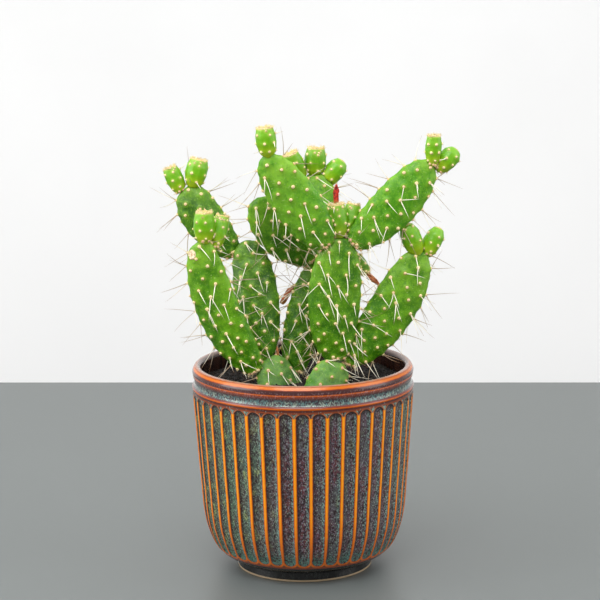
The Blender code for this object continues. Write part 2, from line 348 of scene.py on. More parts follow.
def plainPaint(name, colour, roughness):
    tree, place = newFinish(name)
    cloud = tree.noise(place, 3.0, 4.0).fade(0.3, 0.7)
    darker = tuple(part * 0.93 for part in colour[:3]) + (1,)
    return closeFinish(tree, {
        "Base Color": tree.mix(cloud * 0.5, colour, darker), "Roughness": roughness})


floor = meshObject("floor", [(-3, -3, 0), (3, -3, 0), (3, 0.35, 0), (-3, 0.638, 0)],
                   [(0, 1, 2, 3)])
floor.data.materials.append(plainPaint("floorPaint", tint(100, 105, 104), 0.4))
wall = meshObject("wall", [(-4, 1.3, -1), (4, 1.3, -1), (4, 1.3, 3), (-4, 1.3, 3)],
                  [(0, 1, 2, 3)])
wall.data.materials.append(plainPaint("wallPaint", tint(248, 248, 248), 0.9))
softLight("wall_wash", (0, 0.5, 1.7), (3.0, 0.4), studio["back"], (0, 1.3, 0.0))
print("stage set")


# in mm, but firstRidge in degrees; heights count from a line that lies footDrop above the table
pot = {"flutes": 43, "firstRidge": 3.6, "fluteTop": 108.4, "fluteFoot": 12.6, "halfTop": 3.68,
       "halfFoot": 3.36, "scoop": 0.85, "ridgeRise": 0.3, "footDrop": 1.5}
hollow = {"floor": 8.0, "flat": 34.0, "bowl": 32.0, "belly": 56.4, "slope": 0.0775, "neck": 62.0}

# radius and height of the outside, from the lip's top down to the foot
potLip = [(64.6, 125.3), (65.6, 125.1), (66.3, 124.5), (66.8, 123.6), (67.3, 122.6),
          (67.6, 121.6), (67.55, 120.6), (67.2, 119.9), (67.3, 119.2), (67.2, 118.3), (66.7, 117.2),
          (66.35, 115.9), (66.4, 114.7), (66.75, 113.6), (67.3, 113.0), (67.75, 112.4),
          (67.8, 111.7), (67.5, 111.0), (67.3, 110.3)]
potWall = [(67.25, 109.4), (67.0, 102.5), (66.1, 90), (65.2, 77), (64.35, 64.4), (63.3, 51.6),
           (62.4, 39), (61.2, 30), (59.6, 24), (57.4, 17.8), (54.7, 12.7), (50.5, 8.6),
           (46.0, 6.0), (43.2, 5.1), (41.9, 4.6), (41.5, 3.4), (41.5, -0.7), (40.9, -1.5),
           (36.8, -1.5), (36.0, 2.0), (20.0, 2.0)]


def smoothLine(points, steps):  # a curve through every point
    ends = [points[0], *points, points[-1]]
    line = []
    for a, b, c, d in zip(ends, ends[1:], ends[2:], ends[3:]):
        a, b, c, d = (np.array(p, float) for p in (a, b, c, d))
        for t in np.arange(steps) / steps:
            line.append(0.5 * (2 * b + (c - a) * t + (2 * a - 5 * b + 4 * c - d) * t * t
                               + (3 * b - a - 3 * c + d) * t ** 3))
    return np.array(line + [np.array(points[-1], float)])


def potInside():  # from the middle of the pot's floor up to the lip's top
    bottom, flat, bowl, belly = map(hollow.get, ("floor", "flat", "bowl", "belly"))
    rows = [(20.0, bottom), (flat, bottom)]
    for z in (10.0, 14.0, 22.0, 32.0, 70.0, 100.0, 112.0, 120.6):
        turn = 1 - max(0.0, (bowl - z) / (bowl - bottom)) ** 2.4
        straight = belly + hollow["slope"] * (z - bowl)
        radius = flat + (belly - flat) * turn ** 0.5 if z < bowl else straight
        rows.append((min(radius, hollow["neck"]), z))
    return rows + [(hollow["neck"], 121.6), (62.15, 123.0), (62.6, 124.1), (63.2, 124.8),
                   (63.9, 125.2)]


def potRows():
    lip = smoothLine(potLip, 2)[:-1]
    side = smoothLine(potWall, 12)
    heights = np.concatenate([np.arange(109.8, 101.2, -0.55), np.linspace(101, 21, 22),
                              np.arange(20.2, 8.4, -0.6)])
    top = side[:np.argmin(side[:, 1] > 8.0)]
    wall = np.stack([np.interp(-heights, -top[:, 1], top[:, 0]), heights], 1)
    return potInside(), lip, wall, np.maximum(smoothLine(potWall[11:], 2)[1:], -pot["footDrop"])


def columnTurns():  # turns of the upright edges within one flute, closer together at its ridge
    half = [0.0, 0.055, 0.1, 0.135, 0.17, 0.23, 0.32, 0.42]
    return np.array(half + [1 - turn for turn in reversed(half[1:])])


def turnedPot():
    inside, lip, side, foot = potRows()
    rows = np.concatenate([inside, lip, side, foot])
    fluted = np.repeat([0.0, 1.0, 0.0], [len(inside) + len(lip), len(side), len(foot)])
    within = np.repeat([1.0, 0.0], [len(inside), len(rows) - len(inside)])
    pitch = 2 * pi / pot["flutes"]
    turns = np.concatenate([(k + columnTurns()) * pitch for k in range(pot["flutes"])])
    turns += radians(pot["firstRidge"]) - pi / 2
    count = len(turns)
    points = np.array([(r * cos(a), r * sin(a), z) for r, z in rows for a in turns]) * mm
    points = np.vstack([points, [(0, 0, rows[0][1] * mm), (0, 0, rows[-1][1] * mm)]])
    last = (len(rows) - 1) * count
    faces = [(a, d, c, b) for a, b, c, d in ringFaces(len(rows), count)]
    faces += fanFaces(last + count, 0, count)
    faces += [(tip, b, a) for tip, a, b in fanFaces(last + count + 1, last, count)]
    points += (potX, 0, pot["footDrop"] * mm)
    return meshObject("pot_glazed", points, faces,
                      fluted=np.append(np.repeat(fluted, count), [0, 0]),
                      within=np.append(np.repeat(within, count), [1, 0]))


def fluteShape(sizes, material):  # presses the flutes in, and marks how far each point is from one
    group, tree, entry = newShape("pot flutes", sizes)
    place = tree.node("GeometryNodeInputPosition")
    x, y = tree.axis(place, "X") - entry["Axis"], tree.axis(place, "Y")
    z = tree.axis(place, "Z") / mm - pot["footDrop"]
    radius = (x * x + y * y) ** 0.5
    turn = x.maths("ARCTAN2", x, y * -1) * (180 / pi) - entry["First ridge"]
    part = x.maths("FRACT", turn * entry["Flutes"] / 360 + 100)
    across = (part - 0.5) * radius / mm * (2 * pi) / entry["Flutes"]
    share = (z - entry["Flute foot"]) / (entry["Flute top"] - entry["Flute foot"])
    halfTop, halfFoot = entry["Half width at top"], entry["Half width at foot"]
    half = halfFoot + (halfTop - halfFoot) * share.clamped()
    above = z - (entry["Flute top"] - halfTop)
    below = (entry["Flute foot"] + halfFoot) - z
    past = x.maths("MAXIMUM", x.maths("MAXIMUM", above, below), 0.0)
    edge = (across * across + past * past) ** 0.5 - half
    deep = (edge * -1 / half).clamped()
    scoop = (deep * (2 - deep)) ** 0.75 * entry["Scoop"]
    rise = edge.fade(0.0, 0.9) * entry["Ridge rise"]
    fluted = named(tree, "fluted")
    away = tree.node("ShaderNodeCombineXYZ", {}, {0: x, 1: y, 2: 0.0})
    moved = tree.node("GeometryNodeSetPosition", {}, {
        "Geometry": entry["Geometry"],
        "Offset": tree.scaled(away, (rise - scoop) * fluted * mm / radius)})
    marked = keep(tree, moved, "edge", edge * fluted + (1 - fluted) * 6.0)
    marked = keep(tree, marked, "across", across / half)
    closeShape(tree, marked, material)
    return group


# the lip's colours by height, from the ring over the arches to the crest; the last two stops, pale,
# on the lip's top are painted reflection
bandLow, bandHigh = 108.0, 126.0
bands = [(108.8, (88, 38, 22)), (109.3, (140, 62, 26)), (109.9, (104, 44, 24)),
         (110.4, (70, 34, 28)), (111.1, (96, 34, 16)), (111.5, (196, 84, 0)),
         (112.0, (214, 102, 2)), (112.4, (128, 40, 14)), (113.6, (64, 54, 58)),
         (116.4, (58, 44, 56)), (117.3, (84, 46, 48)), (118.4, (118, 58, 42)),
         (119.2, (124, 48, 24)), (119.7, (206, 98, 24)), (120.1, (140, 54, 28)),
         (120.5, (84, 46, 48)), (122.3, (58, 26, 22)), (122.9, (120, 40, 6)),
         (123.3, (206, 100, 0)), (123.8, (204, 104, 0)), (124.3, (196, 98, 0)),
         # the two stops above are painted reflection on the lip's top
         (124.7, (150, 64, 4)), (125.1, (168, 116, 88)), (125.4, (146, 124, 118))]


def glaze():
    tree, place = newFinish("reactiveGlaze")
    z = tree.axis(place, "Z") / mm - pot["footDrop"]
    side = tree.axis(place, "X") / mm
    edge, across = tree.attribute("edge"), tree.attribute("across")
    long = tree.stretched(place, 0.62)
    fine = tree.noise(long, 1250.0, 3.0, 0.65)
    grain = tree.noise(long, 620.0, 3.0, 0.6, 0.6)
    drift = tree.noise(tree.stretched(place, 0.35), 95.0, 3.0, 0.6)
    spark = tree.cells(long, 900.0)
    wander = tree.noise(place, 420.0)
    edge = edge + (wander - 0.5) * 0.35

    # flutes: dark brown with grey-blue, mauve and grey-green specks, painted light on the right
    # side of each flute and painted shade on its left side and inside its top edge
    plum = tree.mix(drift.fade(0.4, 0.6), (92, 48, 52), (78, 62, 78))
    greener = side.fade(-6.0, -60.0) * 0.8 + side.fade(30.0, 66.0) * 0.4
    greener = greener + drift.fade(0.46, 0.64) * 0.3
    light = tree.mix(greener, (132, 124, 138), (116, 148, 116))
    olive = tree.noise(long, 210.0, 3.0, 0.6).fade(0.52, 0.66)
    flute = tree.coated(
        tree.mix(grain.fade(0.4, 0.6), (42, 24, 28), plum),
        (greener * grain.fade(0.38, 0.58), (60, 84, 62)),
        (fine.fade(0.5, 0.66) * 0.85, light),
        # painted light on the right side of each flute
        (across.fade(0.2, 0.95) * fine.fade(0.42, 0.62) * 0.8, (116, 158, 148)),
        (spark.fade(0.26, 0.12) * 0.6, (170, 190, 168)),
        # painted shade on the left side of each flute
        (across.fade(-0.35, -0.95) * 0.8, (36, 16, 16)),
        # painted shade inside the top of each flute, next to its edge
        (edge.fade(-1.2, 0.0) * z.fade(104.0, 107.0) * 0.8, (38, 20, 20)),
        (olive * greener * fine.fade(0.4, 0.6) * 0.8, (146, 156, 92)),
        (z.fade(24.0, 14.0) * fine.fade(0.4, 0.58) * 0.75, (62, 122, 106)))

    # ridges: the glaze breaks orange over them; round the arches a thin brown line, with painted
    # shade between it and the flute
    arch = z.fade(105.6, 106.8)
    outline = edge.fade(0.5, 0.85) * edge.fade(1.5, 1.15)
    ridge = tree.coated(
        tree.mix(edge.fade(0.05, 0.4), (104, 26, 2), (232, 122, 0)),
        (edge.fade(0.5, 1.1) * z.fade(10.0, 60.0, 0.3, 1.0), (250, 158, 8)),
        (z.fade(55.0, 14.0) * 0.5, (176, 66, 10)),
        # over the arches: the thin brown line, dark towards the flute as painted shade
        (arch, tree.mix(outline, (52, 22, 16), (176, 100, 58))))

    # the wall: flutes and ridges, the patches above the arches, then the foot's dark glaze, with
    # painted shade on the underside, down to a bare, beige rim
    patch = tree.mix(grain.fade(0.42, 0.6), (66, 30, 26), (124, 150, 138))
    # near-black: the foot's dark glaze, and painted shade on the underside that curves in to it
    footGlazeAndShade = tree.mix(grain.fade(0.4, 0.65), (20, 15, 15), (44, 46, 44))
    bare = z.fade(0.0, -0.4)
    wall = tree.coated(
        tree.mix(edge.fade(-0.3, 0.2), flute, ridge),
        (edge.fade(1.2, 1.6) * arch, patch),
        (edge.fade(1.1, 1.7) * z.fade(16.5, 13.0) * 0.8, (60, 44, 40)),
        (z.fade(11.4, 9.6), footGlazeAndShade),
        (z.fade(12.6, 11.6) * z.fade(10.2, 10.9) * 0.8, (164, 74, 36)),
        (bare, (188, 164, 132)))

    # the lip's bands, with freckles in the cove and a pale top that is painted reflection
    wave = z + (wander - 0.5) * 0.5
    freckle = fine.fade(0.44, 0.56) * z.fade(113.0, 113.6) * z.fade(118.2, 115.4)
    freckleTint = tree.mix(tree.noise(place, 300.0).fade(0.42, 0.6), (90, 126, 124),
                           (142, 158, 144))
    bloomed = fine.fade(0.5, 0.64) * z.fade(117.0, 118.0) * z.fade(122.0, 121.2)
    speck = tree.cells(place, 880.0).fade(0.36, 0.22) * grain.fade(0.5, 0.6)
    span = bandHigh - bandLow
    stops = [((height - bandLow) / span, tint(*colour)) for height, colour in bands]
    lip = tree.coated(
        tree.node("ShaderNodeValToRGB", {"stops": stops}, {0: (wave - bandLow) / span}),
        (freckle * 0.9, freckleTint),
        (bloomed * 0.4, (170, 140, 140)),
        (speck * z.fade(112.0, 110.0) * 0.8, (112, 150, 142)))
    outside = tree.mix(z.fade(108.7, 109.2), wall, lip)

    # inside: brown, run down in streaks, and pale near the lip's top as painted reflection
    streak = tree.noise(tree.stretched(place, 0.12), 260.0, 3.0, 0.6)
    inner = tree.coated(
        tree.mix(streak.fade(0.35, 0.65), (22, 11, 10), (58, 32, 22)),
        # painted reflection on the lip's top, seen from inside
        (z.fade(122.8, 125.2) * 0.8, (146, 124, 118)))
    within = tree.attribute("within")
    return closeFinish(tree, {
        "Base Color": tree.mix(within.fade(0.3, 0.8), outside, inner),
        "Roughness": 0.16 + grain * 0.16 + bare * (1 - within) * 0.5,
        "Normal": tree.bump(fine * 0.5 + grain, 0.00012, 0.6), "IOR": 1.5,
        "Specular IOR Level": 0.36, "Coat Weight": 0.45 - z.fade(122.6, 123.6) * 0.22,
        "Coat Roughness": 0.06})


def makePot():
    sizes = {"Axis": potX, "Flutes": pot["flutes"], "First ridge": pot["firstRidge"],
             "Flute top": pot["fluteTop"], "Flute foot": pot["fluteFoot"],
             "Half width at top": pot["halfTop"], "Half width at foot": pot["halfFoot"],
             "Scoop": pot["scoop"], "Ridge rise": pot["ridgeRise"]}
    piece = shaped(turnedPot(), fluteShape(sizes, glaze()), sizes)
    settle(smoothed(piece), ["pot"])
    print("pot:", len(piece.data.polygons), "faces")


makePot()


# voxel in metres; lump, grain and crust, how deep the loose top is, in mm
soil = {"voxel": 0.0016, "lump": 1.1, "grainsPerMm2": 0.36, "grain": 0.95, "crust": 2.6, "seed": 4}


def soilEarth(name, dark, light):
    tree, place = newFinish(name)
    clump = tree.noise(place, 380.0, 4.0, 0.7)
    rust = tree.noise(place, 60.0, 3.0).fade(0.5, 0.7)
    colour = tree.coated(tree.mix(clump.fade(0.4, 0.7), dark, light),
                         (rust * clump.fade(0.45, 0.6) * 0.7, (66, 34, 22)))
    return closeFinish(tree, {
        "Base Color": colour, "Roughness": 0.85 + clump * 0.12,
        "Normal": tree.bump(clump, 0.0009, 0.9)})


def makeSoil():
    bed = refined(mergedCopy("soil", "soil_bed"), soil["voxel"], 2)
    spots = places(bed.data)
    crust = spots[:, 2].max() - soil["crust"] * mm
    for vertex, spot in zip(bed.data.vertices, spots):
        if spot[2] > crust:
            lump = noise.noise(Vector(spot) * 110) + 0.5 * noise.noise(Vector(spot) * 300)
            vertex.co.z += (lump * soil["lump"] - 0.4) * mm
    bed.data.materials.append(soilEarth("dampSoil", (9, 6, 5), (26, 18, 14)))
    sizes = {"Density": soil["grainsPerMm2"], "Grain": soil["grain"], "Seed": soil["seed"],
             "Crust": float(crust)}
    group, tree, entry = newShape("soil grains", sizes)
    level = tree.axis(tree.node("GeometryNodeInputPosition"), "Z")
    facing = tree.axis(tree.node("GeometryNodeInputNormal"), "Z")
    onTop = (level.maths("GREATER_THAN", level, entry["Crust"])
             * level.maths("GREATER_THAN", facing, 0.3))
    spread = tree.node("GeometryNodeDistributePointsOnFaces", {}, {
        "Mesh": entry["Geometry"], "Selection": onTop, "Density": entry["Density"] * 1e6,
        "Seed": entry["Seed"]})
    crumb = tree.node("GeometryNodeMeshIcoSphere", {}, {"Radius": 1.0, "Subdivisions": 1})
    turn = tree.node("FunctionNodeRandomValue", {"data_type": "FLOAT_VECTOR"}, {
        1: (6.3, 6.3, 6.3), "Seed": entry["Seed"]})
    size = tree.node("FunctionNodeRandomValue", {"data_type": "FLOAT_VECTOR"}, {
        0: (0.35, 0.35, 0.3), 1: (1.25, 1.0, 0.85), "Seed": entry["Seed"] + 7})
    strewn = tree.node("GeometryNodeInstanceOnPoints", {}, {
        "Points": spread, "Instance": crumb, "Rotation": turn,
        "Scale": tree.scaled(size, entry["Grain"] * mm)})
    closeShape(tree, strewn, soilEarth("soilCrumbs", (11, 8, 6), (42, 29, 22)))
    grains = shaped(placed("soil_grains", bed.data.copy()), group, sizes)
    settle(bed, ["soil"])
    settle(grains)
    print("soil:", len(bed.data.polygons), "faces,", len(grains.data.polygons), "in grains")


makeSoil()


# voxel in metres; swell and swellWidth, in mm, shape the low bump under an areole, collar and
# crown count the tufts round the foot and the top, and spiny is the share of areoles with a spine
growth = {"voxel": 0.00078, "swell": 0.7, "swellWidth": 2.6, "collar": 9}
young = {"voxel": 0.000585, "swell": 0.175, "swellWidth": 1.82, "collar": 7, "crown": 26,
         "spiny": 0.12}
skin = {"ease": 70, "sink": 0.12}  # rounds of smoothing, and how low it lies between areoles in mm

# rows and across space the areoles in mm, foot draws them closer at the pad's foot, age and shade
# run from fresh to deep green, darker for an older pad and as painted shade on pads that stand in
# shadow, dull adds a grey bloom, spiny scales how many spines an areole has
pads = {
    "pad_left_front": dict(rows=6.3, across=11.0, foot=0.68, age=0.35, spiny=1.3),
    "pad_left_back": dict(rows=6.4, across=10.5, foot=0.75, age=0.85, spiny=1.6),
    "pad_left_top": dict(rows=6.0, across=10.0, foot=0.85, age=0.75, spiny=0.9),
    "pad_middle_back": dict(rows=6.2, across=10.5, foot=0.8, age=0.75, spiny=2.6),
    "pad_inner_left": dict(rows=6.4, across=11.0, foot=0.9, age=0.45, spiny=1.2),
    "pad_center": dict(rows=6.3, across=11.0, foot=0.8, age=0.5, spiny=1.7),
    "pad_top_center": dict(rows=6.2, across=10.8, foot=0.9, age=0.0, dull=0.15, spiny=0.8),
    "pad_top_right": dict(rows=6.4, across=10.8, foot=0.9, age=0.0, dull=0.1, spiny=1.1),
    "pad_right": dict(rows=6.2, across=10.6, foot=0.8, age=0.4, spiny=1.6),
    "pad_top_back": dict(rows=6.4, across=11.0, foot=0.9, age=0.35, dull=0.1, spiny=0.9),
    "base_pad_left": dict(rows=6.0, across=9.5, foot=0.9, age=0.6, dull=0.8, spiny=3.0),
    "base_pad_right": dict(rows=6.0, across=9.5, foot=0.9, age=0.3, dull=0.9, spiny=2.6),
}
fruits = {  # from fresh to old, and the young pads with them
    "fruit_left_front_a": 0.0, "fruit_left_front_b": 0.1, "fruit_left_top_a": 0.1,
    "fruit_left_top_b": 0.05, "fruit_top_center": 0.0, "fruit_top_back_a": 0.3,
    "fruit_top_back_b": 0.35, "fruit_center_a": 0.4, "fruit_center_b": 0.35,
    "fruit_top_right": 0.05, "fruit_hanging": 1.0, "young_pad_right_a": 0.1,
    "young_pad_right_b": 0.05, "young_pad_top_right": 0.05, "young_pad_top_back": 0.1,
}
# by where an areole sits: its wool's radius in mm; the count, length, spread, width and darkness
# of its bristles; how spiny it is, and its longest spine in mm
tufts = {
    "face": dict(wool=0.92, bristles=[(9, 1.5, 0.45, 0.07, 0.3)], spiny=0.55, longest=17.5),
    "foot": dict(wool=0.88, bristles=[(9, 1.5, 0.45, 0.07, 0.3)], spiny=0.3, longest=17.5),
    "edge": dict(wool=0.95, bristles=[(9, 1.5, 0.45, 0.07, 0.3)], spiny=2.0, longest=21.0),
    "young": dict(wool=0.74, bristles=[(5, 1.2, 0.45, 0.07, 0.3)], longest=7.0),
    "crown": dict(wool=0.52, bristles=[(7, 1.2, 0.6, 0.16, 0.25)]),
    "collar": dict(wool=0.8, bristles=[(7, 1.9, 0.5, 0.09, 0.35), (4, 4.2, 0.55, 0.1, 0.15)]),
}
areoles, spines, bristles = [], [], []
chance = np.random.RandomState(11)


def ownAxes(spots, hanging=False):  # middle, and the long, broad and thin directions of a shape
    middle = spots.mean(0)
    thin, broad, long = np.linalg.eigh(np.cov((spots - middle).T))[1].T
    if (long[2] < 0) != hanging:
        long = -long
    if broad[0] < 0:
        broad = -broad
    return middle, long, broad, np.cross(long, broad)


def skinTree(piece, spots):
    return BVHTree.FromPolygons(spots.tolist(), [tuple(p.vertices) for p in piece.data.polygons])


def hit(tree, start, heading):
    found = tree.ray_cast(Vector(start), Vector(heading))
    return None if found[0] is None else (np.array(found[0]), np.array(found[1]))


def padAreoles(tree, spots, axes, spec):  # a lattice on both faces, and a row round the edge
    middle, long, broad, thin = axes
    along, beside = (spots - middle) @ long, (spots - middle) @ broad
    found = []
    start, end = along.min() + 3 * mm, along.max() - 2.5 * mm

    def spread(u):  # the areoles stand closer together near the foot of a pad
        share = min(1.0, (u - start) / (end - start) * 1.8)
        return share, spec["foot"] + (1 - spec["foot"]) * share

    heights = [start]
    while heights[-1] < end:
        heights.append(heights[-1] + spec["rows"] * spread(heights[-1])[1] * mm)
    for face in (-1, 1):
        shift = chance.uniform(-2, 2) * mm
        for row, u in enumerate(heights):
            share, close = spread(u)
            for column in range(-4, 5):
                v = (column + 0.5 * (row % 2)) * (spec["across"] * close * mm) + shift
                u2, v2 = u + chance.normal(0, 0.5) * mm, v + chance.normal(0, 0.5) * mm
                origin = middle + long * u2 + broad * v2 - thin * face * 0.05
                at = hit(tree, origin, thin * face)
                if at and -face * at[1] @ thin > 0.42:
                    found.append((*at, "face" if share > 0.45 else "foot"))
    rays = [(middle + long * u - broad * way * 0.07, broad * way)
            for u in np.arange(along.min() + 5 * mm, along.max(), mm) for way in (-1, 1)]
    rays += [(middle + broad * v + long * 0.1, -long)
             for v in np.arange(beside.min(), beside.max(), mm)]
    taken = []
    for at in filter(None, (hit(tree, *ray) for ray in rays)):
        apart = all(np.linalg.norm(at[0] - other) > 7.3 * mm for other in taken)
        if apart and all(np.linalg.norm(at[0] - other[0]) > 4.2 * mm for other in found):
            taken.append(at[0])
            found.append((*at, "edge"))
    return found


def roundAreoles(tree, spots, axes):  # rows round a fruit or a young pad
    middle, long, broad, thin = axes
    along = (spots - middle) @ long
    found = []
    for row, u in enumerate(np.arange(along.min() + 4 * mm, along.max() - 2 * mm, 4.9 * mm)):
        for k in range(5):
            turn = (k + 0.5 * (row % 2) + chance.normal(0, 0.07)) * pi / 2.5
            way = broad * cos(turn) + thin * sin(turn)
            at = hit(tree, middle + long * u, way)
            if at:
                found.append((*at, "young"))
    return found


def crownSpots(tree, spots, axes):  # the ring of tufts round the top of a fruit
    middle, long, broad, thin = axes
    along = (spots - middle) @ long
    near = spots[along > along.max() - 2.2 * mm]
    centre = near.mean(0)
    reach = np.linalg.norm((near - centre) - np.outer((near - centre) @ long, long), axis=1)
    reach = np.percentile(reach, 80)
    found = []
    for k in range(young["crown"]):
        turn = k * 2 * pi / young["crown"]
        way = broad * cos(turn) + thin * sin(turn)
        at = hit(tree, centre + way * reach * chance.uniform(0.62, 1.0) + long * 0.02, -long)
        if at:
            tilt = at[1] * 0.3 + long + way * 0.5
            found.append((at[0], tilt / np.linalg.norm(tilt), "crown"))
    return found


def collarSpots(tree, spots, axes, count):  # tufts round the foot, where it grows out
    middle, long, broad, thin = axes
    low = ((spots - middle) @ long).min()
    foot = spots[(spots - middle) @ long < low + 2.5 * mm].mean(0)
    found = []
    for k in range(count):
        turn = (k + chance.uniform(-0.3, 0.3)) * 2 * pi / count
        way = broad * cos(turn) + thin * sin(turn)
        at = hit(tree, foot + long * chance.uniform(-0.5, 0.9) * mm, way)
        if at:
            lean = at[1] + long * 0.4
            found.append((at[0], lean / np.linalg.norm(lean), "collar"))
    return found


def addBristles(point, outward, count, length, spread, width, darkness):
    for _ in range(count):
        lean = outward + chance.normal(0, spread, 3)
        lean /= np.linalg.norm(lean)
        size = length * chance.uniform(0.6, 1.25)
        start = point + chance.normal(0, 0.3, 3) * mm
        bristles.append((start, lean, size * mm, chance.normal(0, 0.12, 3) * size * mm, width * mm,
                         darkness + chance.uniform(-0.25, 0.25)))


def addSpines(point, outward, count, kind):
    down = np.array([0, 0, -1.0])
    for _ in range(count):
        if kind in ("face", "foot"):  # these hang down over the skin, most of them one way
            lean = outward * chance.uniform(0.3, 0.6) + down * chance.uniform(0.5, 1.1)
            lean += np.array([0.3, 0, 0]) + chance.normal(0, 0.27, 3)
        else:
            lean = outward * chance.uniform(0.6, 1.0) + down * chance.uniform(-0.1, 0.6)
            lean += chance.normal(0, 0.36, 3)
        if lean @ outward < 0.25:
            lean += outward * (0.35 - lean @ outward)
        lean /= np.linalg.norm(lean)
        size = tufts[kind]["longest"] * (0.38 + 0.62 * chance.beta(2.4, 1.8))
        bend = chance.normal(0, 0.08, 3) * size * mm
        # edge spines get a high shade, which browns them as painted shade: they stand backlit
        # against the bright backdrop
        shade = chance.uniform(*((0.45, 1.0) if kind == "edge" else (0.0, 0.6)))
        width = chance.uniform(*((0.2, 0.28) if kind == "edge" else (0.25, 0.36)))
        spines.append((point, lean, size * mm, bend, width * mm, shade))


def dress(found, spec):
    for point, outward, kind in found:
        tuft = tufts[kind]
        size = tuft["wool"] * chance.uniform(0.82, 1.2)
        worn = 1.0 if kind == "collar" else spec.get("dull", 0.0)
        areoles.append((point, outward, size * mm, worn))
        for sizes in tuft["bristles"][:2 if "spiny" in spec else 1]:  # long hairs between pads
            addBristles(point, outward, *sizes)
        if kind == "young":
            addSpines(point, outward, int(chance.uniform() < young["spiny"]), kind)
        elif "spiny" in tuft:
            rank = chance.uniform() ** (1 / (spec["spiny"] * tuft["spiny"]))
            addSpines(point, outward, np.searchsorted([0.36, 0.70, 0.92], rank), kind)


def greenSkin():
    tree, place = newFinish("greenSkin")
    along, spot, age, dull = map(tree.attribute, ("along", "spot", "age", "dull"))
    broad = tree.noise(place, 70.0, 3.0, 0.55)
    mottle = tree.noise(place, 520.0, 3.0, 0.65)
    pore = tree.cells(place, 1300.0)
    wide = broad.fade(0.35, 0.65)
    # a pale bloom over the upper part of each pad, with painted sheen where the light from above
    # falls
    bloomAndSheen = along.fade(0.4, 1.0) * broad.fade(0.3, 0.6) * (0.55 - age * 0.42)
    colour = tree.coated(
        # darker for an older pad, and as painted shade on the pads that stand in shadow
        tree.mix(age, tree.mix(wide, (74, 144, 0), (112, 178, 4)),
                 tree.mix(wide, (26, 68, 2), (50, 96, 10))),
        (dull * broad.fade(0.25, 0.6), (92, 132, 92)),
        # painted shade on the lower part of each pad
        (along.fade(0.45, 0.0) * 0.5, (44, 106, 0)),
        (bloomAndSheen, (150, 196, 64)),
        (mottle.fade(0.5, 0.72) * 0.4, (138, 190, 24)),
        (mottle.fade(0.46, 0.3) * 0.4, (30, 84, 0)),
        (pore.fade(0.3, 0.12) * 0.4, (164, 206, 60)),
        (tree.noise(place, 900.0).fade(0.64, 0.72) * 0.45, (186, 208, 130)),
        (spot.fade(2.8, 1.2) * 0.45, (134, 176, 44)),
        (spot.fade(1.25, 0.9) * 0.6, (196, 124, 82)))
    wrinkle = tree.noise(tree.stretched(place, 0.16), 260.0, 3.0, 0.55)
    rough = mottle * 0.7 + broad * 2.0 + wrinkle * 1.6 + pore.fade(0.0, 0.3) * 0.35
    return closeFinish(tree, {
        "Base Color": colour, "Roughness": 0.34 + mottle * 0.2 + dull * 0.2,
        "Normal": tree.bump(rough, 0.0003, 0.6), "Specular IOR Level": 0.34,
        "Subsurface Weight": 0.12, "Subsurface Radius": (0.6, 1.0, 0.1), "Subsurface Scale": 0.003})


def fruitSkin():
    tree, place = newFinish("fruitSkin")
    along, spot, age = map(tree.attribute, ("along", "spot", "age"))
    mottle = tree.noise(place, 560.0, 3.0, 0.65)
    colour = tree.coated(
        tree.mix(along.fade(0.0, 0.6), (164, 190, 10), (104, 172, 0)),
        # painted highlight on the upper part of each fruit
        (along.fade(0.5, 0.95) * 0.35, (150, 202, 66)),
        (age * 0.75, (76, 112, 36)),
        (mottle.fade(0.5, 0.75) * 0.35, (158, 204, 60)),
        (spot.fade(2.0, 0.8) * 0.4, (190, 206, 90)),
        (along.fade(0.935, 0.975) * 0.9, (214, 186, 122)))
    return closeFinish(tree, {
        "Base Color": colour, "Roughness": 0.26 + mottle * 0.2,
        "Normal": tree.bump(mottle, 0.0002, 0.5), "Specular IOR Level": 0.42,
        "Subsurface Weight": 0.15, "Subsurface Radius": (0.7, 1.0, 0.1), "Subsurface Scale": 0.002})


def makeSkin(name, spec, material):
    grown = "rows" in spec
    habit = growth if grown else young
    piece = refined(mergedCopy(name, name + "_skin"), habit["voxel"], skin["ease"])
    spots, normals = places(piece.data), places(piece.data, "normal")
    hanging = name == "fruit_hanging"
    shape = skinTree(piece, spots), spots, ownAxes(spots, hanging)
    found = padAreoles(*shape, spec) if grown else roundAreoles(*shape)
    if not name.startswith("base"):
        found += collarSpots(*shape, habit["collar"])
    if name.startswith("fruit"):
        found += crownSpots(*shape)
    nearest = KDTree(len(found))
    for k, areole in enumerate(found):
        nearest.insert(areole[0], k)
    nearest.balance()
    reach = np.array([nearest.find(spot)[2] for spot in spots]) / mm
    rise = (habit["swell"] - skin["sink"]) * mm
    dress([(at + outward * rise, outward, kind) for at, outward, kind in found], spec)
    lift = habit["swell"] * np.exp(-(reach / habit["swellWidth"]) ** 2) - skin["sink"]
    spots = spots + normals * lift[:, None] * mm
    piece.data.vertices.foreach_set("co", spots.ravel())
    middle, long = ownAxes(spots, hanging)[:2]
    along = (spots - middle) @ long
    addValues(piece.data, "along", (along - along.min()) / (along.max() - along.min()))
    addValues(piece.data, "spot", reach)
    for label in ("age", "dull"):
        addValues(piece.data, label, np.full(len(spots), spec.get(label, 0.0)))
    piece.data.materials.append(material)
    settle(piece, [name])
    return len(piece.data.polygons)


def makeSkins():
    padFinish, fruitFinish = greenSkin(), fruitSkin()
    total = 0  # faces
    for name, spec in pads.items():
        total += makeSkin(name, spec, padFinish)
    for name, age in fruits.items():
        total += makeSkin(name, {"age": age}, fruitFinish)
    print("skins:", total, "faces,", len(areoles), "areoles,", len(spines), "spines")


makeSkins()


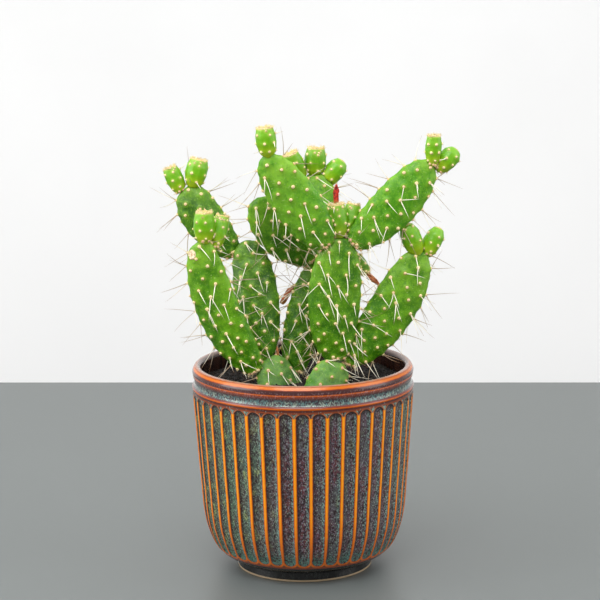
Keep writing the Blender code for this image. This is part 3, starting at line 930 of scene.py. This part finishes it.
# across and up are shares of the pad's own box, and each ring has its share of radius and its
# height over the skin in mm
scar = {"pad": "pad_left_front", "across": 0.085, "up": 0.9, "radius": 2.5, "sides": 26,
        "rings": [(1.0, -1.2), (1.06, 0.0), (0.96, 0.42), (0.8, 0.5), (0.6, 0.3), (0.4, 0.22),
                  (0.2, 0.34)]}


def scarCork():
    tree, place = newFinish("scarCork")
    crust = tree.noise(place, 900.0, 4.0, 0.7)
    colour = tree.coated(
        tree.mix(crust.fade(0.35, 0.6), (196, 164, 118), (246, 232, 200)),
        (tree.attribute("out").fade(0.45, 0.1) * 0.7, (188, 138, 92)))
    return closeFinish(tree, {
        "Base Color": colour, "Roughness": 0.85, "Normal": tree.bump(crust, 0.0004)})


def makeScar():
    low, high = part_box(scar["pad"])
    skin = bpy.data.objects[scar["pad"] + "_skin"]
    shell = skinTree(skin, places(skin.data))
    start = (low.x + (high.x - low.x) * scar["across"], low.y - 0.1,
             low.z + (high.z - low.z) * scar["up"])
    at, outward = hit(shell, start, (0, 1, 0))
    side = np.cross(outward, (0, 0, 1))
    side /= np.linalg.norm(side)
    upward = np.cross(side, outward)
    points, share = [], []
    rings, count = scar["rings"], scar["sides"]
    for out, lift in rings:
        for k in range(count):
            turn = 2 * pi * k / count
            ragged = 1 + 0.16 * noise.noise(Vector((cos(turn), sin(turn), 2.0)) * 1.7)
            reach = out * ragged * scar["radius"] * mm
            points.append(at + (side * cos(turn) + upward * sin(turn) * 1.15) * reach
                          + outward * lift * mm)
            share.append(out)
    points += [at - outward * 1.2 * mm, at + outward * 0.36 * mm]
    share += [1.0, 0.0]
    last = (len(rings) - 1) * count
    faces = ringFaces(len(rings), count)
    faces += fanFaces(len(points) - 2, 0, count) + fanFaces(len(points) - 1, last, count)
    piece = smoothed(outwardFaces(meshObject("pad_scar", points, faces, out=share)))
    piece.data.materials.append(scarCork())
    settle(piece)
    print("scar: 1")


makeScar()


# height is a share of the tuft's radius, and fuzz is in mm
wool = {"Height": 0.55, "Segments": 8, "Rings": 5, "Fuzz": 0.3}
# sides and joints of one hair, how far it tapers, and its colours from the foot to the tip
hairs = {
    "spines": dict(sides=5, joints=5, taper=0.88, finish="spineIvory", colours=[
        (222, 204, 160), (250, 244, 226), (134, 96, 62)]),
    "bristles": dict(sides=3, joints=3, taper=0.88, finish="bristleStraw", colours=[
        (206, 178, 118), (236, 220, 170), (186, 140, 84)]),
}


def woolFinish():
    tree, place = newFinish("areoleWool")
    fluff = tree.noise(place, 1500.0, 3.0, 0.7)
    colour = tree.coated(tree.mix(fluff.fade(0.3, 0.55), (222, 176, 110), (255, 236, 184)),
                         (tree.attribute("worn") * 0.75, (226, 172, 140)))
    return closeFinish(tree, {
        "Base Color": colour, "Roughness": 0.9, "Normal": tree.bump(fluff, 0.0003)})


def hairFinish(name, foot, middle, tip):
    tree, place = newFinish(name)
    reach, shade = map(tree.attribute, ("reach", "shade"))
    streak = tree.noise(place, 900.0)
    colour = tree.coated(
        tree.mix(reach.fade(0.0, 0.25), foot, middle),
        # a high shade browns the hair from the tip down and all over; on the edge spines this is
        # painted shade, as they stand backlit
        (reach.fade(0.9 - shade * 0.6, 1.1 - shade * 0.3), tip),
        (shade.fade(0.5, 0.85) * 0.8, tip),
        (streak * 0.2, foot))
    return closeFinish(tree, {"Base Color": colour, "Roughness": 0.42 + streak * 0.15})


def makeWool():
    group, tree, entry = newShape("areole wool", wool)
    ball = tree.node("GeometryNodeMeshUVSphere", {}, {
        "Segments": entry["Segments"], "Rings": entry["Rings"], "Radius": 1.0})
    upright = tree.node("FunctionNodeAlignRotationToVector", {"axis": "Z"}, {
        "Vector": named(tree, "outward", "FLOAT_VECTOR")})
    size = named(tree, "size")
    scale = tree.node("ShaderNodeCombineXYZ", {}, {0: size, 1: size, 2: size * entry["Height"]})
    tufts = tree.node("GeometryNodeInstanceOnPoints", {}, {
        "Points": entry["Geometry"], "Instance": ball, "Rotation": upright, "Scale": scale})
    real = tree.node("GeometryNodeRealizeInstances", {}, {"Geometry": tufts})
    rough = tree.noise(tree.node("GeometryNodeInputPosition"), 1400.0, 1.0) - 0.4
    push = tree.scaled(tree.node("GeometryNodeInputNormal"), rough * entry["Fuzz"] * 2 * mm)
    fuzzy = tree.node("GeometryNodeSetPosition", {}, {"Geometry": real, "Offset": push})
    closeShape(tree, tree.node("GeometryNodeSetShadeSmooth", {}, {"Geometry": fuzzy}), woolFinish())
    spots, outward, size, worn = zip(*areoles)
    piece = meshObject("areole_wool", spots, outward=outward, size=size, worn=worn)
    settle(shaped(piece, group, wool))
    print("wool:", len(piece.data.polygons), "faces")


def hairShape(sizes, material):
    group, tree, entry = newShape("tapered hairs", sizes)
    line = tree.node("GeometryNodeCurvePrimitiveLine")
    line = tree.node("GeometryNodeResampleCurve", {}, {"Curve": line, "Count": entry["Joints"]})
    upright = tree.node("FunctionNodeAlignRotationToVector", {"axis": "Z"}, {
        "Vector": named(tree, "outward", "FLOAT_VECTOR")})
    stood = tree.node("GeometryNodeInstanceOnPoints", {}, {
        "Points": entry["Geometry"], "Instance": line, "Rotation": upright,
        "Scale": named(tree, "size")})
    real = tree.node("GeometryNodeRealizeInstances", {}, {"Geometry": stood})
    reach = tree.node("GeometryNodeSplineParameter").out("Factor")
    sway = tree.scaled(named(tree, "bend", "FLOAT_VECTOR"), reach * reach)
    bent = tree.node("GeometryNodeSetPosition", {}, {"Geometry": real, "Offset": sway})
    marked = keep(tree, bent, "reach", reach)
    rod = tree.node("GeometryNodeCurvePrimitiveCircle", {}, {
        "Resolution": entry["Sides"], "Radius": 1.0})
    width = named(tree, "width") * (1 - reach ** 1.4 * entry["Taper"])
    hair = tree.node("GeometryNodeCurveToMesh", {}, {
        "Curve": marked, "Profile Curve": rod, "Scale": width, "Fill Caps": True})
    closeShape(tree, tree.node("GeometryNodeSetShadeSmooth", {}, {"Geometry": hair}), material)
    return group


def makeHairs(name, rows, spec):
    spots, outward, size, bend, width, shade = zip(*rows)
    piece = meshObject(name, spots, outward=outward, size=size, bend=bend, width=width, shade=shade)
    sizes = {"Sides": spec["sides"], "Joints": spec["joints"], "Taper": spec["taper"]}
    material = hairFinish(spec["finish"], *spec["colours"])
    settle(shaped(piece, hairShape(sizes, material), sizes))
    print(name + ":", len(piece.data.polygons), "faces")


makeWool()
makeHairs("spines", spines, hairs["spines"])
makeHairs("bristles", bristles, hairs["bristles"])


def rootBark():
    tree, place = newFinish("rootBark")
    fibre = tree.noise(tree.stretched(place, 0.3), 500.0, 4.0, 0.65)
    colour = tree.mix(fibre.fade(0.35, 0.65), (92, 66, 42), (170, 136, 94))
    return closeFinish(tree, {
        "Base Color": colour, "Roughness": 0.8, "Normal": tree.bump(fibre, 0.0006, 0.8)})


flowers = {  # how many folds go round each one, how far they twist, and how red it still is
    "withered_flower_center": dict(pleats=5, twist=1.6, red=1.0),
    "withered_flower_hanging": dict(pleats=5, twist=1.2, red=0.25),
    "withered_flower_back": dict(pleats=5, twist=1.4, red=0.4),
    "withered_flower_base": dict(pleats=4, twist=1.0, red=0.15),
}


def driedPetals():
    tree, place = newFinish("driedPetals")
    along, red = tree.attribute("along"), tree.attribute("red")
    crease = tree.noise(place, 700.0, 3.0, 0.7)
    tan = tree.mix(crease.fade(0.35, 0.65), (134, 70, 38), (206, 150, 96))
    bright = tree.mix(crease.fade(0.35, 0.62), (120, 14, 10), (222, 52, 26))
    colour = tree.coated(
        tree.mix(red, tan, bright),
        (along.fade(0.25, 0.0) * 0.5, (196, 160, 92)),
        (tree.noise(place, 380.0).fade(0.6, 0.7) * 0.7, (52, 14, 10)))
    return closeFinish(tree, {
        "Base Color": colour, "Roughness": 0.62, "Normal": tree.bump(crease, 0.0004, 0.9)})


def makeFlower(name, spec, material):
    spots = places(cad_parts[name].data)
    middle, long, broad, thin = ownAxes(spots, name.endswith("hanging"))
    along = (spots - middle) @ long
    low, high = along.min(), along.max()
    reach = np.abs((spots - middle) @ broad).max()
    rows, sides = 22, 40
    points, share = [], []
    for i in range(rows):
        s = i / (rows - 1)
        belly = sin(pi * min(1, s * 0.86 + 0.14)) ** 0.7
        body = reach * (1.05 * belly + 0.05) * (1 - 0.35 * s)
        for j in range(sides):
            turn = 2 * pi * j / sides
            fold = 1 + 0.3 * cos(spec["pleats"] * turn + spec["twist"] * s * 4)
            fold += 0.45 * noise.noise(Vector((cos(turn) * 2, sin(turn) * 2, s * 4)))
            r = body * fold / 1.25
            frill = noise.noise(Vector((cos(turn) * 1.9, sin(turn) * 1.9, 7)))
            lift = s + 0.34 * s * frill
            points.append(middle + long * (low + (high - low) * min(lift, 1.0))
                          + (broad * cos(turn) + thin * sin(turn)) * r)
            share.append(s)
    faces = ringFaces(rows, sides)
    for ring, tip in ((0, low), (rows - 1, high)):
        points.append(middle + long * tip)
        share.append(ring / (rows - 1))
        faces += fanFaces(len(points) - 1, ring * sides, sides)
    piece = meshObject(name + "_petals", points, faces, along=share,
                       red=np.full(len(points), spec["red"]))
    smoothed(outwardFaces(piece))
    piece.data.materials.append(material)
    settle(piece, [name])


petals = driedPetals()
for name, spec in flowers.items():
    makeFlower(name, spec, petals)
bark = rootBark()
for name in ("roots_left", "roots_right"):
    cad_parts[name].data.materials.clear()
    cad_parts[name].data.materials.append(bark)
print("flowers and roots done")
